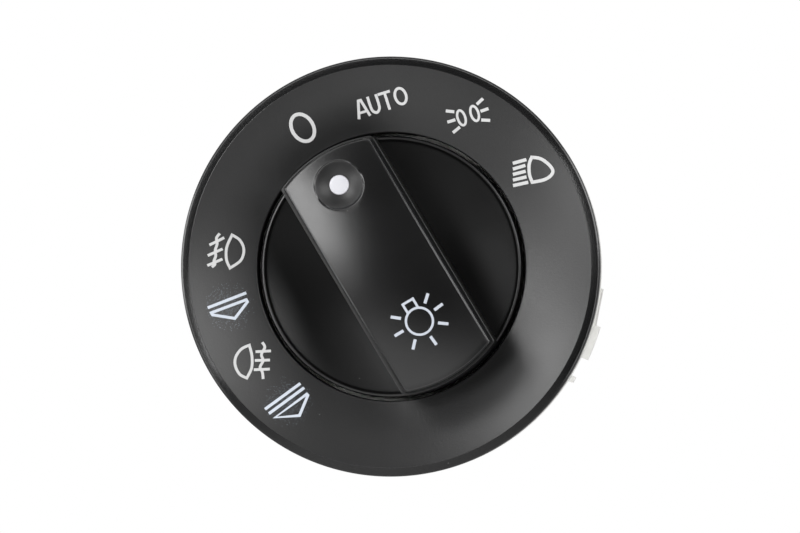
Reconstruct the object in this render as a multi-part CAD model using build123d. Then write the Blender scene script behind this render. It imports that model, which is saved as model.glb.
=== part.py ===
from build123d import *

import os
from math import sqrt

# Rotary headlight switch for a dashboard, in millimetres.
# Heights are measured along the knob axis from the plane where the front bezel
# meets the housing: plus is toward the driver, minus goes into the dash.
# Angles are seen by the driver, from 3 o'clock, anticlockwise.

# Front bezel, a dished ring
BEZEL_R = 36.0
BEZEL_WALL_TOP = 3.3
BEZEL_DRAFT = 0.05
RIM_W = 1.5
CREASE_Z = 4.6
HOLE_EDGE_Z = 0.9
HOLE_EDGE_CHAMFER = 0.35
DISH_SAG = 0.3
BEZEL_T = 1.8
COLLAR_T = 1.6
COLLAR_DEPTH = 5.0

# Snap tabs that hold the bezel in the housing
TAB_ANGLES = (-11.25, 78.75, 168.75, 258.75)
TAB_W = 4.0
TAB_T = 1.2
TAB_HOOK = 1.2
TAB_WINDOW_W = 5.2
TAB_WINDOW_H = 3.2
TAB_GAP = 0.3

# Housing: front skirt, deck, bearing, rear tube
SKIRT_INSET = 0.2
SKIRT_T = 1.6
SKIRT_LEAD = 0.3
FRONT_BAND_H = 6.0
PAD_PROUD = 0.05
PAD_HALF_W = 3.4
DECK_TOP = -10.0
DECK_T = 2.0
TUBE_R = 29.5
TUBE_T = 1.6
TUBE_END = -36.0
BOSS_R = 10.5
BOSS_END = -15.0
DETENT_RING_IN = 6.5
DETENT_RING_HALF_W = 3.0
DETENT_RING_H = 2.6
KEY_SLOT_W = 4.0
KEY_SLOT_DEPTH = 0.7
BOARD_RIB_W = 3.0
BOARD_RIB_DEPTH = 1.7
RIB_ANGLES = (45, 135, 225, 315)

# Knob: round dish with a grip bar across it
REST_ANGLE = 120.7
STEP_ANGLE = 30
POSITIONS = 4
KNOB_R = 22.4
KNOB_GAP = 0.6
LIP_Z = 0.9
LIP_ROUND = 0.5
LIP_W = 1.0
LIP_DROP = 0.5
BOWL_DEPTH = 5.5
KNOB_FLOOR_T = 1.8
KNOB_WALL_T = 1.6
KNOB_PUSH_ROOM = 0.5
CORE_HALF_W = 9.1
CORE_TOP = 10.4
CORE_WALL_T = 1.5
CORE_CHAMFER = 0.3
CORE_CORNER_R = 1.4

# Grip cap on top of the bar
CAP_SIDE_IN = 0.5
CAP_END_IN = 0.35
CAP_TOP = 14.4
CAP_CROWN_R = 110.0
CAP_DRAFT = 1.5
CAP_CORNER_R = 1.6
CAP_CHAMFER = 0.35
CAP_ROOF_Z = 10.8
CAP_SPIGOT_H = 2.0
CAP_SPIGOT_T = 1.1
SHADOW_GAP = 0.3
DIMPLE_IN = 6.4
DIMPLE_R = 4.15
DIMPLE_DEPTH = 1.6
LENS_R = 1.7
LENS_FLANGE_R = 2.5
LENS_FLANGE_T = 0.8
LENS_PROUD = 0.45
SYMBOL_IN = 11.6

# Knob stem, its clip and the light pipe in it
STEM_SQUARE = 8.4
STEM_HEAD_R = 6.0
STEM_HEAD_T = 1.6
STEM_TAIL_R = 3.4
STEM_TAIL_PAST_CLIP = 1.1
PIPE_R = 2.4
PIPE_BAR_T = 3.2
PIPE_TAIL_Z = -24.0
CLIP_T = 0.6
CLIP_R = 5.0
CLIP_SLOT_DEPTH = 0.5

# Rotor that turns with the knob
ROTOR_HUB_R = 8.0
ROTOR_TOP = -9.4
ROTOR_ROOM = 3.9
ROTOR_DISC_TOP = -15.5
ROTOR_DISC_T = 2.4
ROTOR_COLLAR_R = 9.0
ROLLER_R = 1.5
ROLLER_L = 3.2
ROLLER_IN_GROOVE = 0.85
DETENT_DEPTH = 0.3
DETENT_SIDE = 1.2
ROLLER_PHASES = (0, 180)
LEAF_T = 0.3
LEAF_W = 2.2

# Main circuit board with its tracks, and the wipers that run on them
BOARD_TOP = -21.0
BOARD_T = 1.6
BOARD_HOLE_R = 7.0
TRACK_RADII = (12.2, 15.7, 19.2)
TRACK_W = 1.6
TRACK_T = 0.2
TRACK_START = 20
TRACK_SWEEPS = (250, 170, 120)
WIPER_W = 1.1
WIPER_T = 0.3
WIPER_GAP = 0.05
WIPER_BEND = 2.4
WIPER_TIP = 6.6
WIPER_PAD = 1.0
WIPER_ANGLE = 250

# Lamp board and light guide behind the printed ring
LAMP_BOARD_IN_GAP = 0.7
LAMP_BOARD_OUT_GAP = 1.9
LAMP_BOARD_T = 1.2
LAMP_R = 28.5
LAMP_ANGLES = (122.2, 93.2, 62.5, 33.1, 174.4, 194.0, 214.3, 232.6)
LED_SIZE = (3.0, 2.0, 0.9)
RESISTOR_SIZE = (1.6, 0.8, 0.5)
RESISTOR_ANGLE = 8.5
GUIDE_BACK = -3.0
GUIDE_GAP = 0.2
GUIDE_LEG_SIDE = 1.8
GUIDE_LEG_ANGLES = (0, 140, 262)
LINK_PIN_IN = 1.0
LINK_PIN_SIDE = 0.64
LINK_PIN_X = (-3, -1, 1, 3)

# Side latches behind the panel edge
LATCH_ANGLES = {"right": -22.0, "left": 158.0}
LATCH_T = 2.4
LATCH_HOOK_PROUD = 1.1
LATCH_HOOK_V = (-2.3, 3.8)
LATCH_HOOK_RAMP = 1.0
LATCH_TOOTH_PROUD = 0.7
LATCH_TOOTH_V = (-6.9, -5.8)
LATCH_PLATE_V = (-8.2, 3.9)
LATCH_TRAVEL = 1.3
LATCH_RIB_T = 1.0
LATCH_RIB_SHORT = 3.2
LATCH_ROOM = 9.8
LATCH_WALL_T = 1.2
LATCH_GAP = 0.3
LATCH_SPRING_T = 0.3
LATCH_SPRING_W = 1.8

# Pull mechanism behind the board
PULL_TRAVEL = 6.0
PUSH_TRAVEL = 2.5
PULL_STEPS = 2
CARRIAGE_TOP_ROOM = 2.4
CARRIAGE_T = 5.0
CARRIAGE_HALF_X = 9.0
CARRIAGE_HALF_Y = 7.5
CARRIAGE_KEY = 1.6
CARRIAGE_KEY_HALF_W = 2.0
RAIL_T = 2.0
RAIL_TOP = -24.6
NOTCH_SIDE = 1.1
NOTCH_FROM_TOP = 1.0
TONGUE_HALF_X = 2.6
TONGUE_T = 1.0
TONGUE_DROP = 2.3
STEP_SPRING_W = 4.0
STEP_SPRING_T = 0.3
STEP_SPRING_NOSE = 2.0
PLATE_Y = 10.0
PLATE_T = 1.2
PLATE_HALF_X = 8.0
STRIP_X = (-5, 0, 5)
STRIP_W = 1.8
STRIP_T = 0.2
RELEASE_ARM_Y = 5.75
RELEASE_ARM_W = 1.0
RELEASE_HALF_X = 7.5
RELEASE_T = 0.3

# Rear cover with the connector socket
COVER_ROOM = 2.5
COVER_FLOOR_T = 2.0
COVER_SPIGOT_H = 3.0
COVER_SPIGOT_T = 1.2
POST_HALF_W = 1.2
POST_DEPTH = 4.0
SNAP_ANGLES = (0, 90, 180, 270)
SNAP_W = 6.0
SNAP_T = 1.2
SNAP_GAP = 0.2
SNAP_END = -29.0
SNAP_LUG_W = 3.6
SNAP_LUG_H = 1.8
SNAP_LUG_Z = -32.5
SOCKET_Y = -15.0
SOCKET_HALF_X = 12.5
SOCKET_HALF_Y = 5.5
SOCKET_T = 1.5
SOCKET_END = -56.0
SOCKET_KEY_W = 3.0
SOCKET_KEY_H = 1.2
PIN_X = (-9.0, -4.5, 0.0, 4.5, 9.0)
PIN_ROW_Y = 3.0
PIN_W = 1.6
PIN_T = 0.7
PIN_END = -50.5

# Clearances
RUNNING_GAP = 0.06
SLIDE_GAP = 0.05
FREE_GAP = 0.3

# Derived levels and radii
CREASE_R = BEZEL_R - RIM_W
HOLE_R = KNOB_R + KNOB_GAP
CAP_HALF_W = CORE_HALF_W - CAP_SIDE_IN
DIMPLE_X = KNOB_R - DIMPLE_IN
SYMBOL_X = SYMBOL_IN - KNOB_R
CAP_END_R = KNOB_R - CAP_END_IN
SKIRT_R = BEZEL_R - SKIRT_INSET
SKIRT_IN_R = SKIRT_R - SKIRT_T
LAMP_BOARD_IN_R = HOLE_R + COLLAR_T + LAMP_BOARD_IN_GAP
LAMP_BOARD_OUT_R = SKIRT_IN_R - LAMP_BOARD_OUT_GAP
LATCH_HOOK_R = SKIRT_R + LATCH_HOOK_PROUD
LATCH_TOOTH_R = SKIRT_R + LATCH_TOOTH_PROUD
LATCH_RIB_OUT_U = SKIRT_IN_R - LATCH_RIB_SHORT
LATCH_WALL_U = SKIRT_IN_R - LATCH_ROOM
DECK_BACK = DECK_TOP - DECK_T
TUBE_IN_R = TUBE_R - TUBE_T
BOARD_R = TUBE_IN_R - FREE_GAP
LINK_PIN_R = BOARD_R - LINK_PIN_IN
ROTOR_DISC_R = TUBE_IN_R - ROTOR_ROOM
DETENT_RING_R = ROTOR_DISC_R - DETENT_RING_IN
BOARD_BACK = BOARD_TOP - BOARD_T
CARRIAGE_TOP = BOARD_BACK - PULL_TRAVEL - CARRIAGE_TOP_ROOM
CARRIAGE_BACK = CARRIAGE_TOP - CARRIAGE_T
COVER_FLOOR_TOP = CARRIAGE_BACK - PUSH_TRAVEL - COVER_ROOM
COVER_BACK = COVER_FLOOR_TOP - COVER_FLOOR_T
KNOB_SKIRT_END = DECK_TOP + PUSH_TRAVEL + KNOB_PUSH_ROOM
DISH_SLOPE = (CREASE_Z - HOLE_EDGE_Z) / (CREASE_R - HOLE_R)
SEAT_Z = LIP_Z - BOWL_DEPTH
WEB_BACK = SEAT_Z - KNOB_FLOOR_T
ROTOR_DISC_BACK = ROTOR_DISC_TOP - ROTOR_DISC_T
LATCH_BACK = DECK_TOP + SLIDE_GAP * 2
LATCH_TOP = LATCH_BACK + LATCH_T
LATCH_IN_U = LATCH_WALL_U + LATCH_WALL_T + 2 * LATCH_TRAVEL
LAMP_BOARD_BACK = LATCH_TOP + FREE_GAP
LAMP_BOARD_TOP = LAMP_BOARD_BACK + LAMP_BOARD_T
SNAP_OUT_R = TUBE_R + SNAP_GAP + SNAP_T
ROLLER_Z = DECK_BACK - DETENT_RING_H + ROLLER_IN_GROOVE - ROLLER_R
LEAF_RING_R = ROTOR_COLLAR_R + LEAF_W
TAB_WINDOW_TOP = -FRONT_BAND_H - TAB_GAP * 2


def disc(radius, back, front):
    """A solid cylinder on the knob axis."""
    return Pos(0, 0, back) * extrude(Circle(radius), front - back)


def ring(outer, inner, back, front):
    """A tube on the knob axis."""
    return Pos(0, 0, back) * extrude(Circle(outer) - Circle(inner), front - back)


def block(x, y, z):
    """A box between three pairs of coordinates."""
    size = [max(pair) - min(pair) for pair in (x, y, z)]
    centre = [sum(pair) / 2 for pair in (x, y, z)]
    return Pos(*centre) * Box(*size)


def turned(shape, angle):
    """The shape turned about the knob axis."""
    return Rot(0, 0, angle) * shape


def spun(lines):
    """The solid that a closed outline of radius and height makes about the knob axis."""
    return revolve(Plane.XZ * make_face(lines), Axis.Z)


def arc_wall(outer, inner, half_width, back, front):
    """A piece of a tube at 3 o'clock, as wide as twice half_width."""
    return ring(outer, inner, back, front) & block((0, outer + 1), (-half_width, half_width), (back, front))


def strip(points, thickness, width):
    """A bent spring strip: its centre line in a plane, its thickness, and its width across the plane."""
    return extrude(trace(Polyline(*points), thickness), width / 2, both=True)


def dish_back_z(radius):
    """Height of the underside of the dished face, a plain cone."""
    return HOLE_EDGE_Z + DISH_SLOPE * (radius - HOLE_R) - BEZEL_T * sqrt(1 + DISH_SLOPE**2)


def bezel():
    collar_r = HOLE_R + COLLAR_T
    rim_h = CREASE_Z - BEZEL_WALL_TOP
    rim = [(CREASE_R + RIM_W * out, BEZEL_WALL_TOP + rim_h * up) for out, up in ((0.5, 0.87), (0.87, 0.5))]
    edge_in = (HOLE_R, HOLE_EDGE_Z - HOLE_EDGE_CHAMFER)
    edge_out = (HOLE_R + HOLE_EDGE_CHAMFER, HOLE_EDGE_Z)
    dish_mid = ((edge_out[0] + CREASE_R) / 2, (HOLE_EDGE_Z + CREASE_Z) / 2 - DISH_SAG)
    outline = Curve() + [
        Polyline((HOLE_R, -COLLAR_DEPTH), edge_in, edge_out),
        ThreePointArc(edge_out, dish_mid, (CREASE_R, CREASE_Z)),
        Polyline(
            (CREASE_R, CREASE_Z),
            *rim,
            (BEZEL_R, BEZEL_WALL_TOP),
            (BEZEL_R - BEZEL_DRAFT, 0),
            (SKIRT_IN_R, 0),
            (SKIRT_IN_R, dish_back_z(SKIRT_IN_R)),
            (collar_r, dish_back_z(collar_r)),
            (collar_r, -COLLAR_DEPTH),
            (HOLE_R, -COLLAR_DEPTH),
        ),
    ]
    body = spun(outline)
    tab_out = SKIRT_IN_R - SLIDE_GAP * 4
    tab_end = DECK_TOP + TAB_GAP
    tab = arc_wall(tab_out, tab_out - TAB_T, TAB_W / 2, tab_end, dish_back_z(tab_out - TAB_T) + BEZEL_T / 2)
    hook = arc_wall(
        tab_out + TAB_HOOK,
        tab_out - TAB_T / 2,
        TAB_W / 2,
        TAB_WINDOW_TOP - TAB_WINDOW_H + TAB_GAP,
        TAB_WINDOW_TOP - TAB_GAP,
    )
    for angle in TAB_ANGLES:
        body += turned(tab + hook, angle)
    return body


def light_guide():
    """Clear ring whose front follows the dish, on three legs."""
    top = [(r, dish_back_z(r) - GUIDE_GAP) for r in (LAMP_BOARD_IN_R, LAMP_BOARD_OUT_R)]
    guide = spun(Polyline((LAMP_BOARD_IN_R, GUIDE_BACK), *top, (LAMP_BOARD_OUT_R, GUIDE_BACK), close=True))
    leg_in = LAMP_BOARD_OUT_R - 2 * GUIDE_LEG_SIDE
    leg = block((leg_in, leg_in + GUIDE_LEG_SIDE), (0, GUIDE_LEG_SIDE), (LAMP_BOARD_TOP, GUIDE_BACK))
    for angle in GUIDE_LEG_ANGLES:
        guide += turned(leg, angle)
    return guide


def latch_window(v_range):
    """Opening in the skirt for one latch hook, in the latch's own direction."""
    return block(
        (SKIRT_IN_R - 3, SKIRT_R + 1),
        (v_range[0] - LATCH_GAP, v_range[1] + LATCH_GAP),
        (DECK_TOP, LATCH_TOP + LATCH_GAP),
    )


def latch_guides():
    """Ribs on the deck beside one latch, and the wall that its spring pushes on."""
    low = LATCH_PLATE_V[0] - LATCH_GAP
    high = LATCH_PLATE_V[1] + LATCH_GAP
    heights = (DECK_TOP, LAMP_BOARD_BACK)
    wall = block((LATCH_WALL_U, LATCH_WALL_U + LATCH_WALL_T), (low - LATCH_RIB_T, high + LATCH_RIB_T), heights)
    ribs = [
        block((LATCH_WALL_U, LATCH_RIB_OUT_U), (v, v + LATCH_RIB_T), heights)
        for v in (low - LATCH_RIB_T, high)
    ]
    return wall + ribs


def detent_track():
    """Channel that the rollers run in, with a notch in its floor at each knob position."""
    half = ROLLER_L / 2 + FREE_GAP
    floor_z = ROLLER_Z + ROLLER_R + SLIDE_GAP
    channel = ring(DETENT_RING_R + half, DETENT_RING_R - half, DECK_BACK - DETENT_RING_H - 1, floor_z)
    notch = Rot(45, 0, 0) * Box(2 * half, DETENT_SIDE, DETENT_SIDE)
    notch = Pos(DETENT_RING_R, 0, floor_z + DETENT_DEPTH - DETENT_SIDE / sqrt(2)) * notch
    for phase in ROLLER_PHASES:
        for step in range(POSITIONS):
            channel += turned(notch, REST_ANGLE + phase - step * STEP_ANGLE)
    return channel


def housing():
    skirt = Polyline(
        (SKIRT_IN_R, 0),
        (SKIRT_R, 0),
        (SKIRT_R, -FRONT_BAND_H),
        (SKIRT_R - SKIRT_LEAD, DECK_BACK),
        (SKIRT_IN_R, DECK_BACK),
        close=True,
    )
    body = spun(skirt)
    pad = block((SKIRT_IN_R, SKIRT_R + PAD_PROUD), (-PAD_HALF_W, PAD_HALF_W), (DECK_BACK, -FRONT_BAND_H))
    for angle in TAB_ANGLES:
        body += turned(pad, angle)
    body += ring(SKIRT_IN_R + SKIRT_T / 2, ROTOR_HUB_R + RUNNING_GAP, DECK_BACK, DECK_TOP)
    body += ring(BOSS_R, ROTOR_HUB_R + RUNNING_GAP, BOSS_END, DECK_BACK)
    body += ring(
        DETENT_RING_R + DETENT_RING_HALF_W,
        DETENT_RING_R - DETENT_RING_HALF_W,
        DECK_BACK - DETENT_RING_H,
        DECK_BACK,
    )
    body += ring(TUBE_R, TUBE_IN_R, TUBE_END, DECK_BACK)
    for angle in RIB_ANGLES:
        rib = arc_wall(TUBE_IN_R + 0.5, TUBE_IN_R - BOARD_RIB_DEPTH, BOARD_RIB_W / 2, BOARD_TOP, DECK_BACK)
        body += turned(rib, angle)
    for angle in SNAP_ANGLES:
        lug = arc_wall(
            TUBE_R + SNAP_GAP + SNAP_T * 0.7,
            TUBE_R - 0.5,
            SNAP_LUG_W / 2,
            SNAP_LUG_Z - SNAP_LUG_H / 2,
            SNAP_LUG_Z + SNAP_LUG_H / 2,
        )
        body += turned(lug, angle)
    for angle in LATCH_ANGLES.values():
        body += turned(latch_guides(), angle)
        for v_range in (LATCH_HOOK_V, LATCH_TOOTH_V):
            body -= turned(latch_window(v_range), angle)
    window = block(
        (SKIRT_IN_R - 3, SKIRT_R + 1),
        (-TAB_WINDOW_W / 2, TAB_WINDOW_W / 2),
        (TAB_WINDOW_TOP - TAB_WINDOW_H, TAB_WINDOW_TOP),
    )
    for angle in TAB_ANGLES:
        body -= turned(window, angle)
    slot = block(
        (SKIRT_R - KEY_SLOT_DEPTH, SKIRT_R + 1),
        (-KEY_SLOT_W / 2, KEY_SLOT_W / 2),
        (DECK_BACK - 1, -FRONT_BAND_H),
    )
    for angle in (90, 270):
        body -= turned(slot, angle)
    body -= detent_track()
    link_slot = (LINK_PIN_X[0] - FREE_GAP * 3, LINK_PIN_X[-1] + FREE_GAP * 3)
    link_y = (-LINK_PIN_R - FREE_GAP * 3, -LINK_PIN_R + FREE_GAP * 3)
    body -= block(link_slot, link_y, (DECK_BACK - 1, DECK_TOP + 1))
    return body


def latch(angle):
    """One sliding latch: plate, main hook with a ramp behind it, and a small tooth."""
    heights = (LATCH_BACK, LATCH_TOP)
    plate = block((LATCH_IN_U, SKIRT_IN_R), LATCH_PLATE_V, heights)
    plate &= disc(SKIRT_IN_R - FREE_GAP, *heights)
    hook = block((LATCH_RIB_OUT_U, LATCH_HOOK_R), LATCH_HOOK_V, heights) & disc(LATCH_HOOK_R, *heights)
    ramp_line = Polyline(
        (LATCH_HOOK_R + 1, LATCH_BACK - 1),
        (LATCH_HOOK_R + 1, LATCH_BACK + LATCH_HOOK_RAMP + 1),
        (LATCH_HOOK_R - LATCH_HOOK_RAMP - 1, LATCH_BACK - 1),
        close=True,
    )
    ramp = extrude(Plane.XZ * make_face(ramp_line), LATCH_HOOK_R, both=True)
    tooth = block((LATCH_RIB_OUT_U, LATCH_TOOTH_R), LATCH_TOOTH_V, heights) & disc(LATCH_TOOTH_R, *heights)
    return turned(plate + (hook - ramp) + tooth, angle)


def latch_spring(angle):
    """Bowed leaf between the latch and its wall."""
    back_u = LATCH_WALL_U + LATCH_WALL_T + LATCH_SPRING_T / 2 + SLIDE_GAP
    front_u = LATCH_IN_U - LATCH_SPRING_T / 2 - SLIDE_GAP
    middle = sum(LATCH_PLATE_V) / 2
    half = (LATCH_PLATE_V[1] - LATCH_PLATE_V[0]) / 2 - LATCH_GAP
    bow = ThreePointArc((back_u, middle - half), (front_u, middle), (back_u, middle + half))
    leaf = extrude(trace(bow, LATCH_SPRING_T), LATCH_SPRING_W)
    low = LATCH_BACK + (LATCH_T - LATCH_SPRING_W) / 2
    return turned(Pos(0, 0, low) * leaf, angle)


def lamp_board():
    board = ring(LAMP_BOARD_OUT_R, LAMP_BOARD_IN_R, LAMP_BOARD_BACK, LAMP_BOARD_TOP)
    return board - link_pins(SLIDE_GAP)


def on_lamp_board(size, angle):
    lamp = Pos(LAMP_R, 0, LAMP_BOARD_TOP + size[2] / 2) * Box(size[1], size[0], size[2])
    return turned(lamp, angle)


def leds():
    return Compound([on_lamp_board(LED_SIZE, angle) for angle in LAMP_ANGLES])


def resistors():
    return Compound([on_lamp_board(RESISTOR_SIZE, angle - RESISTOR_ANGLE) for angle in LAMP_ANGLES])


def link_pins(gap=0.0):
    """The four pins that join the two boards, or their holes when a gap is given."""
    half = LINK_PIN_SIDE / 2 + gap
    past = LINK_PIN_SIDE
    return Compound(
        [
            block(
                (x - half, x + half),
                (-LINK_PIN_R - half, -LINK_PIN_R + half),
                (BOARD_BACK - past, LAMP_BOARD_TOP + past),
            )
            for x in LINK_PIN_X
        ]
    )


def circuit_board():
    return ring(BOARD_R, BOARD_HOLE_R, BOARD_BACK, BOARD_TOP) - link_pins(SLIDE_GAP)


def contact_tracks():
    """Three arcs on the main board, one inside the other."""
    tracks = []
    for radius, sweep in zip(TRACK_RADII, TRACK_SWEEPS):
        centre_line = CenterArc((0, 0), radius, TRACK_START, sweep)
        tracks.append(Pos(0, 0, BOARD_TOP) * extrude(trace(centre_line, TRACK_W), TRACK_T))
    return Compound([track.solid() for track in tracks])


def contact_plate():
    """Upright board for the pull contacts, from the main board to the cover."""
    return block((-PLATE_HALF_X, PLATE_HALF_X), (PLATE_Y, PLATE_Y + PLATE_T), (COVER_FLOOR_TOP, BOARD_BACK))


def pull_contacts():
    heights = (COVER_FLOOR_TOP + SLIDE_GAP, BOARD_BACK - SLIDE_GAP)
    return Compound(
        [block((x - STRIP_W / 2, x + STRIP_W / 2), (PLATE_Y - STRIP_T, PLATE_Y), heights) for x in STRIP_X]
    )


def terminal_pins():
    """Two rows of blades from the board through the cover into the socket."""
    pins = []
    for row in (-PIN_ROW_Y, PIN_ROW_Y):
        y = SOCKET_Y + row
        for x in PIN_X:
            blade = block((x - PIN_W / 2, x + PIN_W / 2), (y - PIN_T / 2, y + PIN_T / 2), (PIN_END, BOARD_BACK))
            pins.append(chamfer(blade.faces().sort_by(Axis.Z)[0].edges(), PIN_T / 4))
    return Compound(pins)


def pin_slots():
    return Compound(
        [
            block(
                (x - PIN_W / 2 - SLIDE_GAP, x + PIN_W / 2 + SLIDE_GAP),
                (SOCKET_Y + row - PIN_T / 2 - SLIDE_GAP, SOCKET_Y + row + PIN_T / 2 + SLIDE_GAP),
                (COVER_BACK - 1, COVER_FLOOR_TOP + 1),
            )
            for row in (-PIN_ROW_Y, PIN_ROW_Y)
            for x in PIN_X
        ]
    )


def rear_cover():
    spigot_r = TUBE_IN_R - SLIDE_GAP * 2
    inner_r = spigot_r - COVER_SPIGOT_T
    body = disc(TUBE_R, COVER_BACK, TUBE_END) - disc(inner_r, COVER_FLOOR_TOP, TUBE_END)
    body += ring(spigot_r, inner_r, TUBE_END, TUBE_END + COVER_SPIGOT_H)
    tongue = arc_wall(SNAP_OUT_R, TUBE_R + SNAP_GAP, SNAP_W / 2, COVER_BACK, SNAP_END)
    tongue += arc_wall(SNAP_OUT_R, TUBE_R - 1, SNAP_W / 2, COVER_BACK, COVER_FLOOR_TOP)
    tongue -= block(
        (TUBE_R - 2, SNAP_OUT_R + 1),
        (-SNAP_LUG_W / 2 - SNAP_GAP, SNAP_LUG_W / 2 + SNAP_GAP),
        (SNAP_LUG_Z - SNAP_LUG_H / 2 - SNAP_GAP, SNAP_LUG_Z + SNAP_LUG_H / 2 + SNAP_GAP),
    )
    for angle in SNAP_ANGLES:
        body += turned(tongue, angle)
    post = arc_wall(inner_r + COVER_SPIGOT_T / 2, inner_r - POST_DEPTH, POST_HALF_W, COVER_FLOOR_TOP, BOARD_BACK)
    for angle in RIB_ANGLES:
        body += turned(post, angle)
    key_edge = CARRIAGE_KEY_HALF_W + FREE_GAP
    rail_x = CARRIAGE_HALF_X + FREE_GAP
    for side in (-1, 1):
        for y in (-key_edge - RAIL_T, key_edge):
            x_range = (side * rail_x, side * (rail_x + CARRIAGE_KEY + RAIL_T / 2))
            body += block(x_range, (y, y + RAIL_T), (COVER_FLOOR_TOP, RAIL_TOP))
    inner = (SOCKET_HALF_X, SOCKET_HALF_Y)
    shroud = extrude(
        RectangleRounded(2 * (inner[0] + SOCKET_T), 2 * (inner[1] + SOCKET_T), SOCKET_T)
        - RectangleRounded(2 * inner[0], 2 * inner[1], SOCKET_T / 2),
        COVER_BACK - SOCKET_END,
    )
    body += Pos(0, SOCKET_Y, SOCKET_END) * shroud
    key_y = SOCKET_Y + SOCKET_HALF_Y + SOCKET_T
    body += block(
        (-SOCKET_KEY_W / 2, SOCKET_KEY_W / 2), (key_y - SOCKET_T / 2, key_y + SOCKET_KEY_H), (SOCKET_END, COVER_BACK)
    )
    return body - pin_slots()


def roller_pocket():
    """Slot through the rotor disc that drives one roller."""
    half_l = ROLLER_L / 2 + SLIDE_GAP
    half_w = ROLLER_R + SLIDE_GAP
    return block(
        (DETENT_RING_R - half_l, DETENT_RING_R + half_l), (-half_w, half_w), (ROTOR_DISC_BACK - 1, ROTOR_DISC_TOP + 1)
    )


def rotor():
    body = disc(ROTOR_HUB_R, ROTOR_DISC_TOP, ROTOR_TOP)
    body += disc(ROTOR_DISC_R, ROTOR_DISC_BACK, ROTOR_DISC_TOP)
    body += disc(ROTOR_COLLAR_R, BOARD_TOP + FREE_GAP, ROTOR_DISC_BACK)
    side = STEM_SQUARE / 2 + SLIDE_GAP
    body -= block((-side, side), (-side, side), (BOARD_BACK, 0))
    for phase in ROLLER_PHASES:
        body -= turned(roller_pocket(), phase)
    return turned(body, REST_ANGLE)


def detent_rollers():
    roller = Pos(DETENT_RING_R, 0, ROLLER_Z) * Rot(0, 90, 0) * Cylinder(ROLLER_R, ROLLER_L)
    return Compound([turned(roller, REST_ANGLE + phase) for phase in ROLLER_PHASES])


def detent_spring():
    """Spring ring behind the rotor disc, with two fingers that press on the rollers."""
    middle = ROTOR_DISC_BACK - LEAF_T / 2
    nose = ROLLER_Z - ROLLER_R - SLIDE_GAP - LEAF_T / 2
    spring = ring(LEAF_RING_R, ROTOR_COLLAR_R + SLIDE_GAP, ROTOR_DISC_BACK - LEAF_T, ROTOR_DISC_BACK)
    finger = Plane.XZ * strip(
        (
            (LEAF_RING_R - LEAF_W / 2, middle),
            (DETENT_RING_R - ROLLER_R + LEAF_T, middle),
            (DETENT_RING_R - ROLLER_R / 2, nose),
            (DETENT_RING_R + ROLLER_R / 2, nose),
        ),
        LEAF_T,
        LEAF_W / 2,
    )
    for phase in ROLLER_PHASES:
        spring += turned(finger, phase)
    return turned(spring, REST_ANGLE)


def rotary_wipers():
    """Three sprung contacts on one strip under the rotor disc."""
    base_z = ROTOR_DISC_BACK - WIPER_T / 2
    tip_z = BOARD_TOP + TRACK_T + WIPER_GAP + WIPER_T / 2
    base = block(
        (LEAF_RING_R + FREE_GAP, TRACK_RADII[-1] + TRACK_W),
        (-TRACK_W, TRACK_W),
        (ROTOR_DISC_BACK - WIPER_T, ROTOR_DISC_BACK),
    )
    toe = WIPER_TIP + 1.6 * WIPER_PAD
    heel = ((0, base_z), (WIPER_BEND, base_z), (WIPER_TIP, tip_z), (WIPER_TIP + WIPER_PAD, tip_z))
    arm = Plane.YZ * strip((*heel, (WIPER_TIP + 2 * WIPER_PAD, base_z)), WIPER_T, WIPER_W)
    arm -= block((-WIPER_W, WIPER_W), (toe, toe + 2 * WIPER_PAD), (BOARD_TOP, ROTOR_DISC_TOP))
    for radius in TRACK_RADII:
        base += Pos(radius, 0, 0) * arm
    return turned(base, WIPER_ANGLE)


def knob_footprint(half_width, end_r, corner_r):
    """Plan of the grip bar: parallel sides, ends on a circle, rounded corners."""
    plan = Circle(end_r) & Rectangle(2 * end_r, 2 * half_width)
    return fillet(plan.vertices(), corner_r)


def bowl_z(radius, drop=0.0):
    """Height of the knob's dished face, or of its underside when a drop is given."""
    rim_r = KNOB_R - LIP_W
    depth = BOWL_DEPTH - LIP_DROP
    sphere_r = (rim_r**2 + depth**2) / (2 * depth)
    return SEAT_Z + sphere_r - sqrt((sphere_r + drop) ** 2 - radius**2)


def knob_body():
    rim_r = KNOB_R - LIP_W
    wall_in = KNOB_R - KNOB_WALL_T
    eye_r = CORE_HALF_W - CORE_WALL_T
    corner = LIP_ROUND * (1 - sqrt(0.5))
    outline = Curve() + [
        Polyline(
            (eye_r, bowl_z(eye_r)),
            (eye_r, bowl_z(eye_r, KNOB_FLOOR_T)),
            (wall_in, bowl_z(wall_in, KNOB_FLOOR_T)),
            (wall_in, KNOB_SKIRT_END),
            (KNOB_R, KNOB_SKIRT_END),
            (KNOB_R, LIP_Z - LIP_ROUND),
            (KNOB_R - corner, LIP_Z - corner),
            (KNOB_R - LIP_ROUND, LIP_Z),
            (rim_r, LIP_Z - LIP_DROP),
        ),
        ThreePointArc((rim_r, LIP_Z - LIP_DROP), (rim_r / 2, bowl_z(rim_r / 2)), (eye_r, bowl_z(eye_r))),
    ]
    inner_plan = knob_footprint(CORE_HALF_W - CORE_WALL_T, KNOB_R - KNOB_WALL_T, CORE_CORNER_R / 2)
    hollow = Pos(0, 0, SEAT_Z) * extrude(inner_plan, CORE_TOP - SEAT_Z + 1)
    core_plan = knob_footprint(CORE_HALF_W, KNOB_R, CORE_CORNER_R)
    core = Pos(0, 0, WEB_BACK) * extrude(core_plan, CORE_TOP - WEB_BACK)
    core = chamfer(core.faces().sort_by(Axis.Z)[-1].edges(), CORE_CHAMFER)
    side = STEM_SQUARE / 2 + SLIDE_GAP
    core -= block((-side, side), (-side, side), (WEB_BACK - 1, SEAT_Z + 1))
    body = (spun(outline) + core) - hollow
    return turned(body, REST_ANGLE)


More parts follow.
